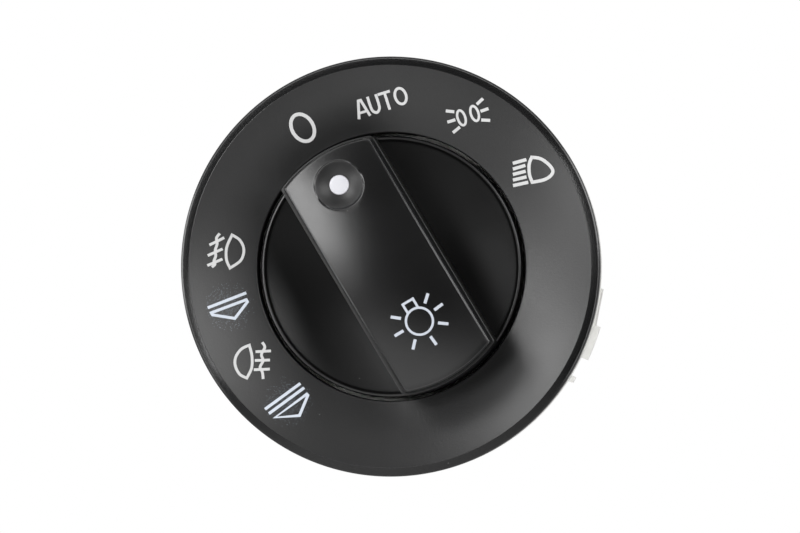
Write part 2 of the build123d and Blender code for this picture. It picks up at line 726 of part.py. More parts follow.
def grip_cap():
    height = CAP_TOP - CORE_TOP
    plan = knob_footprint(CAP_HALF_W, CAP_END_R, CAP_CORNER_R)
    cap = Pos(0, 0, CORE_TOP) * extrude(plan, height, taper=CAP_DRAFT)
    cap &= Pos(0, 0, CAP_TOP - CAP_CROWN_R) * Sphere(CAP_CROWN_R)
    cap = chamfer(cap.faces().sort_by(Axis.Z)[-1].edges(), CAP_CHAMFER)
    rebate = knob_footprint(CAP_HALF_W + 1, CAP_END_R + 1, CAP_CORNER_R)
    rebate -= knob_footprint(CAP_HALF_W - SHADOW_GAP, CAP_END_R - SHADOW_GAP, CAP_CORNER_R)
    cap -= Pos(0, 0, CORE_TOP) * extrude(rebate, SHADOW_GAP)
    spigot_half = CORE_HALF_W - CORE_WALL_T - SLIDE_GAP * 2
    spigot_r = KNOB_R - KNOB_WALL_T - SLIDE_GAP * 2
    spigot_z = CORE_TOP - CAP_SPIGOT_H
    cap += Pos(0, 0, spigot_z) * extrude(
        knob_footprint(spigot_half, spigot_r, CORE_CORNER_R / 2), CAP_SPIGOT_H + SHADOW_GAP
    )
    hollow = knob_footprint(spigot_half - CAP_SPIGOT_T, spigot_r - CAP_SPIGOT_T, CORE_CORNER_R / 2)
    cap -= Pos(0, 0, spigot_z - 1) * extrude(hollow, CAP_ROOF_Z - spigot_z + 1)
    dimple_ball_r = (DIMPLE_R**2 + DIMPLE_DEPTH**2) / (2 * DIMPLE_DEPTH)
    cap -= Pos(DIMPLE_X, 0, crown_z(DIMPLE_X) - DIMPLE_DEPTH + dimple_ball_r) * Sphere(dimple_ball_r)
    lens_hole = extrude(Circle(LENS_R + SLIDE_GAP), height)
    cap -= Pos(DIMPLE_X, 0, CORE_TOP) * lens_hole
    return turned(cap, REST_ANGLE)


def crown_z(x):
    """Height of the cap's crowned top along the bar."""
    return CAP_TOP - CAP_CROWN_R + sqrt(CAP_CROWN_R**2 - x**2)


def index_lens():
    """White pointer lens in the dimple, held by a flange under the cap's roof."""
    top = crown_z(DIMPLE_X) - DIMPLE_DEPTH + LENS_PROUD
    lens = extrude(Circle(LENS_R), top - CAP_ROOF_Z)
    lens = chamfer(lens.faces().sort_by(Axis.Z)[-1].edges(), LENS_PROUD / 2)
    flange = extrude(Circle(LENS_FLANGE_R), -LENS_FLANGE_T)
    return turned(Pos(DIMPLE_X, 0, CAP_ROOF_Z) * (lens + flange), REST_ANGLE)


def light_pipe():
    """Clear bar under the cap, with a shank down the stem."""
    top = CAP_ROOF_Z - LENS_FLANGE_T
    low = top - PIPE_BAR_T
    ends = (SYMBOL_X - LENS_FLANGE_R, DIMPLE_X + LENS_FLANGE_R)
    pipe = block(ends, (-LENS_FLANGE_R, LENS_FLANGE_R), (low, top))
    pad = extrude(Circle(LENS_FLANGE_R), CAP_ROOF_Z - top)
    pipe += Pos(SYMBOL_X, 0, top) * pad
    pipe += disc(PIPE_R, PIPE_TAIL_Z, low + 1)
    return turned(pipe, REST_ANGLE)


def knob_stem():
    """Square shank with a head in the knob and a round tail in the carriage."""
    half = STEM_SQUARE / 2
    shank_end = CARRIAGE_TOP + SLIDE_GAP
    clip_top = CARRIAGE_BACK - SLIDE_GAP
    tail_end = clip_top - CLIP_T - STEM_TAIL_PAST_CLIP
    stem = disc(STEM_HEAD_R, SEAT_Z, SEAT_Z + STEM_HEAD_T)
    stem += block((-half, half), (-half, half), (shank_end, SEAT_Z))
    stem += disc(STEM_TAIL_R, tail_end, shank_end)
    stem -= ring(
        STEM_TAIL_R + 1, STEM_TAIL_R - CLIP_SLOT_DEPTH, clip_top - CLIP_T - SLIDE_GAP, clip_top + SLIDE_GAP
    )
    stem -= disc(PIPE_R + SLIDE_GAP, PIPE_TAIL_Z - 1, SEAT_Z + STEM_HEAD_T + 1)
    return turned(stem, REST_ANGLE)


def stem_clip():
    """Open spring clip in the stem's groove, behind the carriage."""
    clip_top = CARRIAGE_BACK - SLIDE_GAP
    inner = STEM_TAIL_R - CLIP_SLOT_DEPTH + SLIDE_GAP
    clip = ring(CLIP_R, inner, clip_top - CLIP_T, clip_top)
    clip -= block((0, CLIP_R + 1), (-inner * 0.85, inner * 0.85), (clip_top - CLIP_T, clip_top))
    return turned(clip, REST_ANGLE)


def pull_carriage():
    """Slider moved by the stem, keyed in the cover's rails, with one notch for each pull step."""
    heights = (CARRIAGE_BACK, CARRIAGE_TOP)
    body = block((-CARRIAGE_HALF_X, CARRIAGE_HALF_X), (-CARRIAGE_HALF_Y, CARRIAGE_HALF_Y), heights)
    key_x = CARRIAGE_HALF_X + CARRIAGE_KEY
    body += block((-key_x, key_x), (-CARRIAGE_KEY_HALF_W, CARRIAGE_KEY_HALF_W), heights)
    body -= disc(STEM_TAIL_R + RUNNING_GAP, CARRIAGE_BACK - 1, CARRIAGE_TOP + 1)
    body += block(
        (-TONGUE_HALF_X, TONGUE_HALF_X),
        (-CARRIAGE_HALF_Y, -CARRIAGE_HALF_Y + TONGUE_T),
        (CARRIAGE_BACK - TONGUE_DROP, CARRIAGE_BACK),
    )
    notch = Rot(45, 0, 0) * Box(2 * CARRIAGE_HALF_X + 2, NOTCH_SIDE, NOTCH_SIDE)
    for step in range(PULL_STEPS + 1):
        notch_z = CARRIAGE_TOP - NOTCH_FROM_TOP - step * PULL_TRAVEL / PULL_STEPS
        body -= Pos(0, -CARRIAGE_HALF_Y, notch_z) * notch
    return body


def pull_wipers():
    """Contacts on the carriage that slide on the upright strips."""
    base_y = CARRIAGE_HALF_Y + WIPER_T / 2
    tip_y = PLATE_Y - STRIP_T - WIPER_GAP - WIPER_T / 2
    middle = (CARRIAGE_TOP + CARRIAGE_BACK) / 2
    wipers = block(
        (STRIP_X[0] - STRIP_W / 2, STRIP_X[-1] + STRIP_W / 2),
        (CARRIAGE_HALF_Y, CARRIAGE_HALF_Y + WIPER_T),
        (CARRIAGE_BACK + WIPER_T, middle),
    )
    arm = Plane.YZ * strip(
        (
            (base_y, CARRIAGE_BACK + 1),
            (base_y, middle),
            (tip_y, CARRIAGE_TOP - 1),
            (tip_y, CARRIAGE_TOP - 0.3),
        ),
        WIPER_T,
        WIPER_W,
    )
    for x in STRIP_X:
        wipers += Pos(x, 0, 0) * arm
    return wipers


def step_spring():
    """Bent leaf on the cover whose nose clicks into the carriage's notch."""
    nose_y = -CARRIAGE_HALF_Y + STEP_SPRING_T / 2 + SLIDE_GAP - NOTCH_SIDE / 4
    rest_y = -CARRIAGE_HALF_Y - 1.2
    nose_z = CARRIAGE_TOP - NOTCH_FROM_TOP
    return Plane.YZ * strip(
        (
            (rest_y, COVER_FLOOR_TOP),
            (rest_y, nose_z - STEP_SPRING_NOSE),
            (nose_y - STEP_SPRING_T, nose_z),
            (rest_y, nose_z + STEP_SPRING_NOSE),
        ),
        STEP_SPRING_T,
        STEP_SPRING_W,
    )


def release_spring():
    """Leaf with two bowed arms, between the cover and the carriage, that lifts the knob after a push."""
    low = COVER_FLOOR_TOP + RELEASE_T / 2
    high = CARRIAGE_BACK - SLIDE_GAP - RELEASE_T / 2
    bow = ThreePointArc((-RELEASE_HALF_X, low), (0, high), (RELEASE_HALF_X, low))
    arm = extrude(Plane.XZ * trace(bow, RELEASE_T), RELEASE_ARM_W / 2, both=True)
    bar_y = RELEASE_ARM_Y + RELEASE_ARM_W / 2
    spring = Pos(0, RELEASE_ARM_Y, 0) * arm + Pos(0, -RELEASE_ARM_Y, 0) * arm
    for side in (-1, 1):
        x_range = (side * RELEASE_HALF_X, side * (RELEASE_HALF_X + RELEASE_ARM_W))
        spring += block(x_range, (-bar_y, bar_y), (COVER_FLOOR_TOP, COVER_FLOOR_TOP + RELEASE_T))
    return spring


PIECES = {
    "bezel": bezel(),
    "light_guide": light_guide(),
    "housing": housing(),
    "lamp_board": lamp_board(),
    "leds": leds(),
    "resistors": resistors(),
    "link_pins": link_pins(),
    "circuit_board": circuit_board(),
    "contact_tracks": contact_tracks(),
    "contact_plate": contact_plate(),
    "pull_contacts": pull_contacts(),
    "terminal_pins": terminal_pins(),
    "rear_cover": rear_cover(),
    "step_spring": step_spring(),
    "release_spring": release_spring(),
    "rotor": rotor(),
    "detent_rollers": detent_rollers(),
    "detent_spring": detent_spring(),
    "rotary_wipers": rotary_wipers(),
    "knob_body": knob_body(),
    "grip_cap": grip_cap(),
    "index_lens": index_lens(),
    "light_pipe": light_pipe(),
    "knob_stem": knob_stem(),
    "stem_clip": stem_clip(),
    "pull_carriage": pull_carriage(),
    "pull_wipers": pull_wipers(),
}
for side, angle in LATCH_ANGLES.items():
    PIECES[f"latch_{side}"] = latch(angle)
    PIECES[f"latch_spring_{side}"] = latch_spring(angle)

# The finished switch stands with its knob axis along Y, the driver at -Y and Z up
os.makedirs("parts", exist_ok=True)
for name, piece in PIECES.items():
    export_step(Rot(90, 0, 0) * piece, f"parts/{name}.step")
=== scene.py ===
from math import cos, radians, sin, sqrt

import bmesh
import bpy
import numpy as np
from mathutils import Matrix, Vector


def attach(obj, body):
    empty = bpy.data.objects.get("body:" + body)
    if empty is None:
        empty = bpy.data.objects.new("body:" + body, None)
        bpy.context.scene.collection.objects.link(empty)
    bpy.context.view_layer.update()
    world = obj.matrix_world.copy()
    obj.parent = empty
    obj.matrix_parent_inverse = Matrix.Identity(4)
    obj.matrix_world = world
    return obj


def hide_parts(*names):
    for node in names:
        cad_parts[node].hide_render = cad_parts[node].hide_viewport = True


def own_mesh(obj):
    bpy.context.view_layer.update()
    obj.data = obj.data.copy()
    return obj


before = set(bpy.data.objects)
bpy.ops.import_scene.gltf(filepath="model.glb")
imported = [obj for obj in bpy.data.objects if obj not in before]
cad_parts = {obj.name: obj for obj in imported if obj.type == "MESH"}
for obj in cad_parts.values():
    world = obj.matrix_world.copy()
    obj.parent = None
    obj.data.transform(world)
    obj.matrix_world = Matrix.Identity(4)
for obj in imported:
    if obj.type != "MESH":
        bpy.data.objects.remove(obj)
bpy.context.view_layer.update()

scene = bpy.context.scene
scene.view_settings.view_transform = "Standard"


# The switch is drawn in its own millimetres: x to the driver's right, y up, z toward the driver
# from the plane where the bezel meets the housing. In the frame that z runs along -Y.
def in_frame(points):
    """Millimetres on the switch to metres in the frame: (x, y, z) becomes (x, -z, y) / 1000."""
    points = np.asarray(points, float)
    return np.stack([points[..., 0], -points[..., 2], points[..., 1]], axis=-1) / 1000


# Camera: a long lens two metres in front, a little to the right of the knob's axis and below it.
# It is moved aside, unturned, so that the switch stands where it does in the photograph.
VIEW_DISTANCE = 2.0
VIEW_RIGHT = radians(3.8)
VIEW_BELOW = radians(1.2)
PIXELS_PER_MM = 5.829
PICTURE_WIDTH = 800
SWITCH_OFF_MIDDLE = (-8.34, -0.38)
lens_data = bpy.data.cameras.new("camera")
lens_data.sensor_width = 36.0
lens_data.lens = PIXELS_PER_MM * 1000 * VIEW_DISTANCE * lens_data.sensor_width / PICTURE_WIDTH
camera = bpy.data.objects.new("camera", lens_data)
scene.collection.objects.link(camera)
scene.camera = camera
toward_camera = Vector((
    sin(VIEW_RIGHT) * cos(VIEW_BELOW), -cos(VIEW_RIGHT) * cos(VIEW_BELOW), -sin(VIEW_BELOW)
))
camera.rotation_mode = "QUATERNION"
camera.rotation_quaternion = (-toward_camera).to_track_quat("-Z", "Y")
off_middle = Vector((*SWITCH_OFF_MIDDLE, 0)) / PIXELS_PER_MM / 1000
aim = camera.rotation_quaternion @ -off_middle
camera.location = aim + toward_camera * VIEW_DISTANCE
lens_data.clip_start = 0.05
lens_data.clip_end = 20.0


# Bezel: a dished ring of fine-grained black plastic with a dark rounded rim. It is one
# moulding, held in the housing by four snap tabs, and turned here from its section.
class Flow:
    """A value on its way through a material. Sums and products of it add Math nodes."""

    def __init__(self, finish, socket):
        self.finish = finish
        self.socket = socket

    def _math(self, operation, first, second):
        return self.finish.node("ShaderNodeMath", {"operation": operation}, {0: first, 1: second})

    def __add__(self, other):
        return self._math("ADD", self, other)

    def __radd__(self, other):
        return self._math("ADD", other, self)

    def __sub__(self, other):
        return self._math("SUBTRACT", self, other)

    def __rsub__(self, other):
        return self._math("SUBTRACT", other, self)

    def __mul__(self, other):
        return self._math("MULTIPLY", self, other)

    def __rmul__(self, other):
        return self._math("MULTIPLY", other, self)

    def __lt__(self, other):
        return self._math("LESS_THAN", self, other)


class Finish:
    """A material and the nodes that make it."""

    def __init__(self, name):
        self.material = bpy.data.materials.new(name)
        self.material.use_nodes = True
        self.tree = self.material.node_tree
        self.tree.nodes.clear()

    def node(self, kind, settings=None, sockets=None, out=0):
        """Adds a node with its settings and its sockets' values or links, and gives one of its outputs."""
        made = self.tree.nodes.new(kind)
        for key, value in (settings or {}).items():
            setattr(made, key, value)
        for key, value in (sockets or {}).items():
            if isinstance(value, Flow):
                self.tree.links.new(value.socket, made.inputs[key])
            else:
                made.inputs[key].default_value = value
        return None if out is None else Flow(self, made.outputs[out])

    def place(self):
        """Position on the piece, in metres."""
        return self.node("ShaderNodeTexCoord", out="Object")

    def distance(self, centre):
        """Distance in metres from a point in the frame."""
        return self.node(
            "ShaderNodeVectorMath", {"operation": "DISTANCE"}, {0: self.place(), 1: centre}, out="Value"
        )

    def noise(self, per_metre, detail):
        """Soft noise from 0 to 1 with that many grains in a metre."""
        return self.node(
            "ShaderNodeTexNoise", {}, {"Vector": self.place(), "Scale": per_metre, "Detail": detail}
        )

    def specks(self, per_metre, size, share):
        """1 on a share of scattered round specks, else 0. The size is a fraction of their spacing."""
        settings = {"feature": "F1"}
        sockets = {"Vector": self.place(), "Scale": per_metre}
        near = self.node("ShaderNodeTexVoronoi", settings, sockets, out="Distance") < size
        chosen = self.node("ShaderNodeSeparateColor", {}, {
            "Color": self.node("ShaderNodeTexVoronoi", settings, sockets, out="Color")
        }) < share
        return near * chosen

    def blend(self, factor, first, second):
        """From the first colour to the second as the factor goes from 0 to 1."""
        return self.node("ShaderNodeMix", {"data_type": "RGBA"}, {0: factor, 6: first, 7: second}, out=2)

    def relief(self, height, depth):
        """A bump of that depth in metres."""
        return self.node("ShaderNodeBump", {}, {"Height": height, "Distance": depth, "Strength": 1.0})

    def shade(self, **sockets):
        """Ends the material in a Principled shader, whose sockets are named with underscores for spaces."""
        named = {key.replace("_", " "): value for key, value in sockets.items()}
        self.node("ShaderNodeOutputMaterial", {}, {
            "Surface": self.node("ShaderNodeBsdfPrincipled", {}, named)
        }, out=None)
        return self.material


def black_plastic(name, shade, roughness, grain_depth, dust=0.012, spray=(), spray_reach=0.0046, worn=None):
    """Black moulded plastic: a fine spark-eroded grain, faint clouds in its gloss, a little pale dust,
    stray ink drops that thin out away from the given places, and a duller round spot (centre, radius)."""
    dust_colour, ink_colour = (0.3, 0.3, 0.29, 1), (0.16, 0.18, 0.22, 1)
    most_drops, duller = 0.8, 0.2
    finish = Finish(name)
    grain = 0.35 * finish.noise(7200, 1.0) + 0.65 * finish.noise(2600, 2.0)
    clouds = finish.noise(90, 3.0)
    colour = finish.blend(finish.specks(900, 0.05, dust), (shade, shade, shade * 1.03, 1), dust_colour)
    for centre in spray:
        thinned = most_drops - finish.distance(centre) * (most_drops / spray_reach)
        colour = finish.blend(finish.specks(7500, 0.33, thinned), colour, ink_colour)
    gloss = roughness + 0.1 * (clouds - 0.5)
    if worn:
        gloss = gloss + duller * (finish.distance(worn[0]) < worn[1])
    return finish.shade(Base_Color=colour, Roughness=gloss, Normal=finish.relief(grain, grain_depth))


def arc(centre, radii, start, stop, steps):
    """Points along part of an ellipse: centre + radii * (cos a, sin a), with a in degrees."""
    angle = np.radians(np.linspace(start, stop, steps))
    return np.stack([centre[0] + radii[0] * np.cos(angle), centre[1] + radii[1] * np.sin(angle)], axis=-1)


def turned(section, around=720):
    """Grid of a section of (radius, height) points turned about the knob's axis."""
    section = np.asarray(section, float)
    angle = np.linspace(0, 2 * np.pi, around, endpoint=False)
    radius = section[:, None, 0]
    height = np.broadcast_to(section[:, None, 1], (len(section), around))
    return np.stack([radius * np.cos(angle), radius * np.sin(angle), height], axis=-1)


def quads(grid, wrap_rows, start):
    """Corner numbers of the four-sided faces of a grid that closes along its columns, counted from start."""
    rows, columns = grid.shape[:2]
    row = np.arange(rows if wrap_rows else rows - 1)[:, None]
    column = np.arange(columns)[None, :]
    next_row, next_column = (row + 1) % rows, (column + 1) % columns
    corners = [row * columns + column, next_row * columns + column,
               next_row * columns + next_column, row * columns + next_column]
    return np.stack(np.broadcast_arrays(*corners), axis=-1).reshape(-1, 4) + start


def piece(name, grids, crease=22.0):
    """A mesh from closed grids. Each grid is (points, wrap): it closes along its columns, and along its rows
    too if wrap is true. Without wrap its end rows are single points or are closed by a flat face."""
    points, faces, start = [], [], 0
    for grid, wrap in grids:
        rows, columns = grid.shape[:2]
        points.append(grid.reshape(-1, 3))
        faces += quads(grid, wrap, start).tolist()
        if not wrap:
            for row in (0, rows - 1):
                if np.ptp(grid[row], axis=0).max() > 1e-9:
                    faces.append(list(range(start + row * columns, start + (row + 1) * columns)))
        start += rows * columns
    mesh = bpy.data.meshes.new(name)
    mesh.from_pydata(in_frame(np.concatenate(points)).tolist(), [], faces)
    work = bmesh.new()
    work.from_mesh(mesh)
    bmesh.ops.remove_doubles(work, verts=work.verts, dist=2e-7)
    bmesh.ops.dissolve_degenerate(work, edges=work.edges, dist=1e-8)
    bmesh.ops.recalc_face_normals(work, faces=work.faces)
    work.to_mesh(mesh)
    work.free()
    mesh.polygons.foreach_set("use_smooth", np.ones(len(mesh.polygons), bool))
    mesh.set_sharp_from_angle(angle=radians(crease))
    made = bpy.data.objects.new(name, mesh)
    scene.collection.objects.link(made)
    return made


def wall_arc(radii, heights, half_width, angle, steps=9):
    """Grid of a short piece of a tube, closed like a bent bar: its (inner, outer) radii and (low, high)
    heights carried along an arc about the angle."""
    (inner, outer), (low, high) = radii, heights
    turn = np.radians(angle) + np.linspace(-1, 1, steps) * half_width / outer
    corner = np.array([(outer, low), (outer, high), (inner, high), (inner, low)])
    radius, height = corner[None, :, 0], corner[None, :, 1]
    return np.stack([radius * np.cos(turn)[:, None], radius * np.sin(turn)[:, None],
                     np.broadcast_to(height, (steps, 4))], axis=-1)


FACE_R, FACE_LEAN, DISH_SAG = 36.0, 0.05, 0.3
CREASE_R, CREASE_HEIGHT, CREASE_ROUND, CREASE_START = 34.5, 4.6, 0.12, 0.05
BAND_SLOPE, RIM_ROUND, RIM_HEIGHT = 34, 1.0, 3.1
HOLE_R, HOLE_HEIGHT, HOLE_ROUND = 23.0, 0.9, 0.35
COLLAR_R, COLLAR_END = 24.6, -5.0
BACK_R, BACK_HEIGHTS = 34.2, (-0.48, 2.62)
TAB_ANGLES, TAB_HALF_W = (-11.25, 78.75, 168.75, 258.75), 2.0
TAB_RADII, TAB_HEIGHTS = (32.8, 34.0), (-9.7, 2.4)
SNAP_RADII, SNAP_HEIGHTS = (33.4, 35.2), (-9.5, -6.9)
# Stray ink lies round the two step marks, and the face is duller than the rim as far as the crease.
STRAY_INK = in_frame([(-27.8, -6.8, 2.5), (-17.7, -23.2, 2.5)]).tolist()
DULL_FACE = in_frame([0, 0, 2.5]).tolist(), 0.03457


def dish_height(radius):
    """Height of the bezel's face: a straight slope less a shallow parabola."""
    share = (radius - HOLE_R - HOLE_ROUND) / (CREASE_R - HOLE_R - HOLE_ROUND)
    return HOLE_HEIGHT + (CREASE_HEIGHT - HOLE_HEIGHT) * share - 4 * DISH_SAG * share * (1 - share)


dish_r = np.linspace(HOLE_R + HOLE_ROUND, CREASE_R - CREASE_START, 48)
bezel_section = np.concatenate([
    [(HOLE_R, COLLAR_END)],
    arc((HOLE_R + HOLE_ROUND, HOLE_HEIGHT - HOLE_ROUND), (HOLE_ROUND, HOLE_ROUND), 180, 98, 8),
    np.stack([dish_r, dish_height(dish_r)], axis=-1),
    arc((CREASE_R, CREASE_HEIGHT - CREASE_ROUND), (CREASE_ROUND, CREASE_ROUND), 113, 90 - BAND_SLOPE, 8),
    arc((FACE_R - RIM_ROUND, RIM_HEIGHT), (RIM_ROUND, RIM_ROUND), 90 - BAND_SLOPE, 0, 12),
    [(FACE_R - FACE_LEAN, 0.0), (BACK_R, 0.0), (BACK_R, BACK_HEIGHTS[1]), (COLLAR_R, BACK_HEIGHTS[0]),
     (COLLAR_R, COLLAR_END)],
])
tabs = []
for tab_angle in TAB_ANGLES:
    tabs.append((wall_arc(TAB_RADII, TAB_HEIGHTS, TAB_HALF_W, tab_angle), False))
    tabs.append((wall_arc(SNAP_RADII, SNAP_HEIGHTS, TAB_HALF_W, tab_angle), False))
bezel = piece("bezel_ring", [(turned(bezel_section), True), *tabs])
bezel.data.materials.append(
    black_plastic("bezel_grain", 0.005, 0.18, 1.8e-5, spray=STRAY_INK, worn=DULL_FACE)
)
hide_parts("bezel")
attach(bezel, "housing_body")


# Printed marks: pale function marks, flush on the bezel's face, one over each lamp. Each is a
# few strokes of even width, laid on the dish as a thin closed film.
def line(*points):
    """An open path of straight runs."""
    return np.array(points, float), False


def bow(*points, per_span=7):
    """Points of a smooth curve through the given ones (Catmull-Rom)."""
    given = np.array([points[0], *points, points[-1]], float)
    share = np.linspace(0, 1, per_span, endpoint=False)[:, None]
    spans = []
    for a, b, c, d in zip(given, given[1:], given[2:], given[3:]):
        spans.append(0.5 * (2 * b + (c - a) * share + (2 * a - 5 * b + 4 * c - d) * share**2
                            + (3 * b - a - 3 * c + d) * share**3))
    return np.concatenate([*spans, given[-1:]])


def outline(*bows):
    """A closed path of curves that meet at corners."""
    return np.concatenate([np.asarray(part, float)[:-1] for part in bows]), True


def oval(centre, radii, steps=64):
    """An ellipse as a closed path."""
    return arc(centre, radii, 0, 360 - 360 / steps, steps), True


def film(path, closed, width, place, surface, lift=0.03, sink=0.05):
    """Grid of a stroke: its two edges run half its width beside the path, mitred at corners, and lie on a
    surface, from a little below it (sink) to a little above it (lift)."""
    ahead = np.roll(path, -1, axis=0) - path
    if not closed:
        ahead[-1] = ahead[-2]
    ahead /= np.linalg.norm(ahead, axis=1, keepdims=True)
    behind = np.roll(ahead, 1, axis=0)
    if not closed:
        behind[0] = ahead[0]
    mean = ahead + behind
    mean /= np.linalg.norm(mean, axis=1, keepdims=True)
    sharpest = 0.6
    reach = width / 2 / np.maximum((mean * ahead).sum(axis=1), sharpest)
    side = np.stack([-mean[:, 1], mean[:, 0]], axis=-1) * reach[:, None]
    edges = [place(path + side), place(path - side)]
    rows = []
    for edge, rise in ((edges[0], -sink), (edges[0], lift), (edges[1], lift), (edges[1], -sink)):
        rows.append(np.column_stack([edge, surface(edge) + rise]))
    return np.stack(rows, axis=1), closed


def marks(name, strokes, centre, turn, surface, shade):
    """A mark of strokes (path, width) in its own millimetres, turned, moved to its centre and laid down."""
    c, s = cos(radians(turn)), sin(radians(turn))
    matrix = np.array([[c, s], [-s, c]])

    def place(points):
        return points @ matrix + np.array(centre)

    grids = [film(path, closed, width, place, surface) for (path, closed), width in strokes]
    made = piece(name, grids, crease=30.0)
    made.data.materials.append(shade)
    return made


def on_dish(points):
    """Height of the bezel's face at points of its plan."""
    return dish_height(np.linalg.norm(points, axis=1))


def print_ink(name, colour):
    """Matte pale ink, slightly uneven."""
    finish = Finish(name)
    uneven = finish.noise(1800, 3.0)
    darker = tuple(value * 0.88 for value in colour)
    return finish.shade(
        Base_Color=finish.blend(uneven, (*darker, 1), (*colour, 1)),
        Roughness=0.55 + 0.1 * uneven,
        Normal=finish.relief(finish.noise(7200, 1.0), 3e-6),
    )


grey_ink = print_ink("grey_ink", (0.56, 0.56, 0.56))
cool_ink = print_ink("cool_ink", (0.56, 0.6, 0.67))
BEZEL_MARKS = {
    # name: place as (right, up) from the knob's axis, turn, ink, strokes as (path, width)
    "mark_zero": ((-15.15, 23.84), 30.0, grey_ink, [(oval((0, 0), (1.82, 2.44)), 0.6)]),
    "mark_auto": ((-1.54, 28.19), 17.0, grey_ink, [
        (line((-4.62, -1.6), (-3.8, 1.38), (-3.38, 1.38), (-2.62, -1.6)), 0.47),
        (line((-4.35, -0.65), (-2.95, -0.65)), 0.42),
        ((bow((-2.08, 1.6), (-2.08, 0.0), (-1.95, -0.95), (-1.35, -1.4), (-0.75, -0.95), (-0.6, 0.0),
              (-0.6, 1.6)), False), 0.47),
        (line((-0.3, 1.4), (1.9, 1.4)), 0.47),
        (line((0.92, 1.4), (0.92, -1.6)), 0.47),
        (oval((3.4, 0.03), (0.95, 1.36)), 0.46),
    ]),
    "mark_side": ((13.28, 25.84), 17.5, grey_ink, [
        (oval((-1.2, 0), (0.66, 1.3)), 0.42),
        (oval((1.2, 0), (0.66, 1.3)), 0.42),
        (line((-3.4, 1.95), (-2.05, 1.35)), 0.52), (line((-3.75, 0.05), (-2.3, 0.02)), 0.52),
        (line((-3.4, -1.95), (-1.95, -1.4)), 0.52), (line((3.4, 1.95), (2.05, 1.35)), 0.52),
        (line((3.75, 0.05), (2.3, 0.02)), 0.52), (line((3.4, -1.95), (1.95, -1.4)), 0.52),
    ]),
    "mark_low_beam": ((24.53, 16.37), 0.0, grey_ink, [
        (outline(bow((-0.3, 2.3), (1.2, 2.05), (2.55, 1.15), (3.35, 0.05), (3.0, -0.85), (1.8, -1.55),
                     (-0.25, -1.95)),
                 bow((-0.25, -1.95), (-0.72, -0.6), (-0.75, 1.1), (-0.3, 2.3))), 0.56),
        (line((-3.6, 1.3), (-1.24, 1.92)), 0.56), (line((-3.6, 0.32), (-1.42, 0.93)), 0.56),
        (line((-3.6, -0.6), (-1.38, -0.06)), 0.56), (line((-3.6, -1.55), (-1.24, -1.03)), 0.56),
        (line((-3.6, -2.5), (-0.95, -1.95)), 0.56),
    ]),
    "mark_front_fog": ((-28.4, 2.75), 0.0, grey_ink, [
        (outline(bow((1.1, 2.72), (2.3, 1.95), (3.0, 0.7), (3.0, -0.6), (2.4, -1.8), (0.75, -2.95)),
                 bow((0.75, -2.95), (0.15, -1.5), (0.2, 0.6), (1.1, 2.72))), 0.46),
        ((bow((-0.95, 2.95), (-1.5, 2.2), (-1.4, 1.2), (-1.72, 0.1), (-1.65, -0.9), (-1.95, -1.8),
              (-1.8, -2.35), (-2.3, -2.8)), False), 0.46),
        (line((-2.69, 0.97), (-0.21, 2.25)), 0.46), (line((-2.98, -0.84), (-0.5, 0.32)), 0.46),
        (line((-3.05, -2.55), (-0.52, -1.42)), 0.46),
    ]),
    "mark_step_one": ((-27.86, -6.75), 0.0, cool_ink, [
        (line((-3.5, -0.3), (2.95, 2.3)), 0.5),
        (outline(((-2.9, -1.15), (2.95, 1.12), (3.15, 0.74), (1.06, -2.1), (-2.68, -1.5),
                  (-2.9, -1.15))), 0.48),
    ]),
    "mark_rear_fog": ((-23.66, -16.24), 0.0, grey_ink, [
        (outline(bow((-0.66, 2.8), (-0.2, 0.9), (-0.22, -1.1), (-1.0, -2.85)),
                 bow((-1.0, -2.85), (-2.2, -2.2), (-2.97, -0.75), (-2.92, 0.75), (-2.0, 2.12),
                     (-0.66, 2.8))), 0.46),
        ((bow((1.5, 3.3), (1.95, 2.45), (1.4, 1.2), (1.7, 0.15), (1.2, -0.95), (1.6, -1.85), (1.75, -3.0)),
          False), 0.46),
        (line((0.4, 1.68), (3.0, 1.82)), 0.46), (line((0.3, 0.18), (2.85, 0.25)), 0.46),
        (line((0.15, -1.42), (2.85, -1.3)), 0.46),
    ]),
    "mark_step_two": ((-17.79, -23.14), 0.0, cool_ink, [
        (line((-3.7, -1.3), (2.2, 3.15)), 0.5), (line((-3.02, -2.05), (2.85, 2.4)), 0.5),
        (outline(((-2.0, -2.72), (3.3, 1.3), (3.5, 1.1), (2.15, -2.38), (-2.0, -2.72))), 0.48),
    ]),
}
for mark_name, (centre, turn, ink, strokes) in BEZEL_MARKS.items():
    mark = marks(mark_name, strokes, centre, turn, on_dish, ink)
    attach(mark, "housing_body")


# Housing and its two latches: pale glass-filled plastic, seen as a narrow edge behind the
# bezel. They are the CAD pieces, with their round faces smoothed and a dry, slightly
# mottled finish.
def dress(material, *names):
    """Gives CAD pieces their finish and smooth round faces, with their sharp edges kept."""
    merge_within, sharp_from = 2e-6, radians(28)
    for name in names:
        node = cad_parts[name]
        node.data.polygons.foreach_set("use_smooth", np.ones(len(node.data.polygons), bool))
        join = node.modifiers.new("join", "WELD")
        join.merge_threshold = merge_within
        split = node.modifiers.new("edges", "EDGE_SPLIT")
        split.split_angle = sharp_from
        node.data.materials.clear()
        node.data.materials.append(material)


def pale_plastic(name, colour, roughness):
    """Pale moulded plastic with faint fibres and a soft gloss."""
    finish = Finish(name)
    cloud = finish.noise(140, 4.0)
    fibre = finish.noise(3800, 2.0)
    low = tuple(value * 0.88 for value in colour)
    return finish.shade(
        Base_Color=finish.blend(0.6 * cloud + 0.4 * fibre, (*low, 1), (*colour, 1)),
        Roughness=roughness + 0.15 * (cloud - 0.5),
        Normal=finish.relief(fibre, 6e-6),
    )


dress(pale_plastic("ivory_moulding", (0.85, 0.845, 0.815), 0.5), "housing")
dress(pale_plastic("latch_moulding", (0.89, 0.885, 0.86), 0.45), "latch_right", "latch_left")


